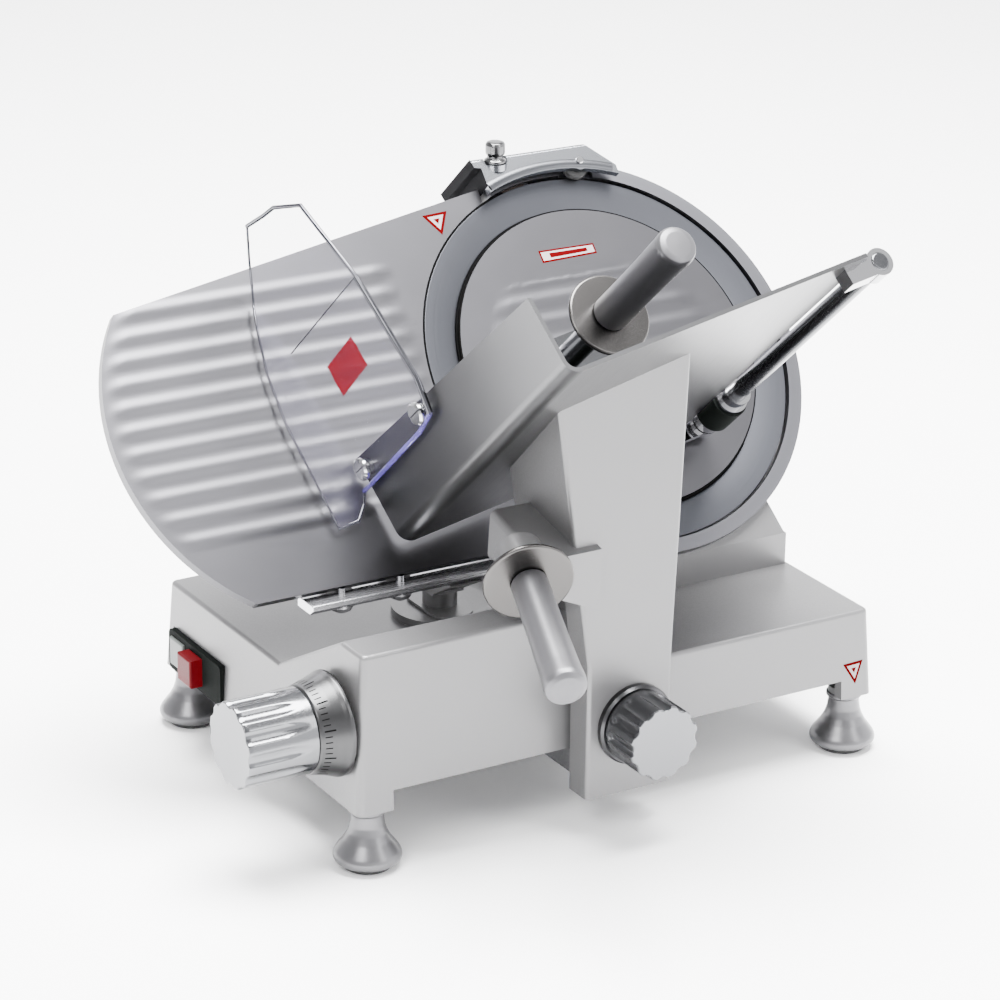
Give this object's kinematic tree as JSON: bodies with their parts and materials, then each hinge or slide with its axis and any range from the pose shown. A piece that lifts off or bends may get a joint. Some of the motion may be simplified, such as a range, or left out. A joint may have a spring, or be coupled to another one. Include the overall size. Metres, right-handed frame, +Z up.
{
  "type": "deli meat slicer",
  "caption": "Gravity-feed slicer with a tilted circular blade, ribbed gauge plate, sliding meat tray with pusher and a thickness knob.",
  "frame": {"origin": "centre of the footprint on the worktop, under the feet", "axes": "+X along the carriage travel to the right, +Y away from the operator, +Z up"},
  "size_m": [0.5745, 0.511, 0.4329],
  "materials": {
    "cast_aluminium": "anodised casting with a fine satin grain",
    "polished_aluminium": "brushed polish",
    "plate_aluminium": "anodised, ribbed and satin",
    "sheet_aluminium": "anodised sheet",
    "ring_grey": "dark anodised satin",
    "blade_steel": "hard chromed and ground",
    "turned_steel": "turned stainless steel",
    "chromed_steel": "chromed",
    "dark_steel": "plain steel",
    "cast_iron": "machined casting",
    "motor_iron": "laminated core in a cast frame",
    "bronze": "sintered bronze",
    "black_plastic": "moulded",
    "red_plastic": "moulded",
    "dark_button": "moulded",
    "clear_acrylic": "clear sheet with polished edges",
    "foot_rubber": "moulded",
    "belt_rubber": "ribbed",
    "grinding_stone": "bonded abrasive",
    "truing_stone": "fine bonded abrasive"
  },
  "bodies": {
    "base": {"base_housing": "cast_aluminium", "bottom_cover": "sheet_aluminium", "feet": "turned_steel", "foot_pads": "foot_rubber", "switch_box": "black_plastic", "mains_gland": "black_plastic", "capacitor": "black_plastic", "blade_housing": "cast_aluminium", "ring_guard": "ring_grey", "motor_body": "motor_iron", "spindle_post": "dark_steel", "spindle_bearings": "chromed_steel", "blade_cover": "plate_aluminium", "drive_belt": "belt_rubber", "gauge_guide_shaft": "turned_steel", "carriage_shaft": "turned_steel", "sharpener_bracket": "cast_aluminium"},
    "start_button": {"start_button": "dark_button"},
    "stop_button": {"stop_button": "red_plastic"},
    "blade_group": {"hub_pulley": "cast_iron", "blade": "blade_steel", "blade_screws": "dark_steel"},
    "motor_rotor": {"motor_shaft": "dark_steel", "motor_pulley": "cast_iron"},
    "tie_rod": {"cover_tie_rod": "black_plastic"},
    "sharpener": {"sharpener_hood": "polished_aluminium"},
    "sharpener_knob": {"sharpener_knob": "chromed_steel"},
    "grinder": {"grinding_stone": "grinding_stone", "grinding_button": "chromed_steel"},
    "truer": {"truing_stone": "truing_stone", "truing_button": "chromed_steel"},
    "thickness_control": {"index_ring": "polished_aluminium", "thickness_knob": "polished_aluminium", "knob_shaft": "dark_steel", "spiral_cam": "cast_iron"},
    "gauge": {"gauge_plate": "plate_aluminium", "support_bar": "chromed_steel", "bar_bolts": "chromed_steel", "gauge_post": "cast_aluminium", "gauge_slider": "cast_iron", "cam_follower": "dark_steel"},
    "carriage": {"carriage_arm": "cast_aluminium", "slide_block": "cast_iron", "slide_bushes": "bronze", "lock_ring": "black_plastic", "meat_tray": "sheet_aluminium", "safety_guard": "clear_acrylic", "guard_screws": "chromed_steel", "handle_flange": "turned_steel", "carriage_handle": "turned_steel", "pusher_rod": "turned_steel", "rod_brackets": "chromed_steel"},
    "roller": {"guide_roller": "dark_steel"},
    "lock": {"lock_knob": "polished_aluminium", "lock_screw": "dark_steel"},
    "pusher_sleeve": {"pusher_slider": "chromed_steel"},
    "pusher": {"pusher_arm": "black_plastic", "pusher_plate": "polished_aluminium", "pusher_disc": "turned_steel", "pusher_handle": "turned_steel"}
  },
  "joints": [
    {"name": "start_press", "type": "slide", "parent": "base", "child": "start_button", "axis": [1, 0, 0], "range_m": [0, 0.004], "stiffness_N_per_m": 400, "springref_m": -0.002},
    {"name": "stop_press", "type": "slide", "parent": "base", "child": "stop_button", "axis": [1, 0, 0], "range_m": [0, 0.006], "stiffness_N_per_m": 400, "springref_m": -0.002},
    {"name": "blade_spin", "type": "hinge", "parent": "base", "child": "blade_group", "pos_m": [0.12475, 0.10186, 0.2641], "axis": [0, -0.749, 0.6626], "continuous": true},
    {"name": "motor_spin", "type": "hinge", "parent": "base", "child": "motor_rotor", "pos_m": [0.15475, 0.03692, 0.1907], "axis": [0, -0.749, 0.6626], "continuous": true},
    {"name": "tie_rod_turn", "type": "hinge", "parent": "base", "child": "tie_rod", "pos_m": [0.12475, 0.10186, 0.2641], "axis": [0, -0.749, 0.6626], "range_deg": [0, 360]},
    {"name": "sharpener_lift", "type": "slide", "parent": "base", "child": "sharpener", "axis": [0, 0.6626, 0.749], "range_m": [0, 0.016]},
    {"name": "sharpener_knob_turn", "type": "hinge", "parent": "sharpener", "child": "sharpener_knob", "pos_m": [0.08275, 0.20286, 0.39638], "axis": [0, 0, 1], "range_deg": [0, 360]},
    {"name": "grinding_press", "type": "slide", "parent": "sharpener", "child": "grinder", "axis": [0, -0.749, 0.6626], "range_m": [0, 0.003], "stiffness_N_per_m": 400, "springref_m": -0.002},
    {"name": "truing_press", "type": "slide", "parent": "sharpener", "child": "truer", "axis": [0, 0.749, -0.6626], "range_m": [0, 0.0025], "stiffness_N_per_m": 400, "springref_m": -0.002},
    {"name": "thickness_turn", "type": "hinge", "parent": "base", "child": "thickness_control", "pos_m": [-0.20465, -0.07004, 0.1022], "axis": [-1, 0, 0], "range_deg": [0, 330]},
    {"name": "gauge_slide", "type": "slide", "parent": "base", "child": "gauge", "axis": [0, 1, 0], "range_m": [0, 0.01501]},
    {"name": "carriage_slide", "type": "slide", "parent": "base", "child": "carriage", "axis": [1, 0, 0], "range_m": [-0.14, 0.165]},
    {"name": "roller_turn", "type": "hinge", "parent": "carriage", "child": "roller", "pos_m": [-0.00185, 0.01036, 0.0845], "axis": [0, 1, 0], "continuous": true},
    {"name": "lock_turn", "type": "hinge", "parent": "carriage", "child": "lock", "pos_m": [0.00165, -0.13564, 0.0823], "axis": [0, -1, 0], "range_deg": [0, 360]},
    {"name": "pusher_slide", "type": "slide", "parent": "carriage", "child": "pusher_sleeve", "axis": [0, -0.749, 0.6626], "range_m": [0, 0.17]},
    {"name": "pusher_swing", "type": "hinge", "parent": "pusher_sleeve", "child": "pusher", "pos_m": [0.17392, 0.05445, 0.21051], "axis": [0, -0.749, 0.6626], "range_deg": [-115, 0]}
  ],
  "couplings": [
    {"joint": "motor_spin", "follows": "blade_spin", "ratio": 4.2857},
    {"joint": "gauge_slide", "follows": "thickness_turn", "m_per_rad": 0.0026044}
  ]
}
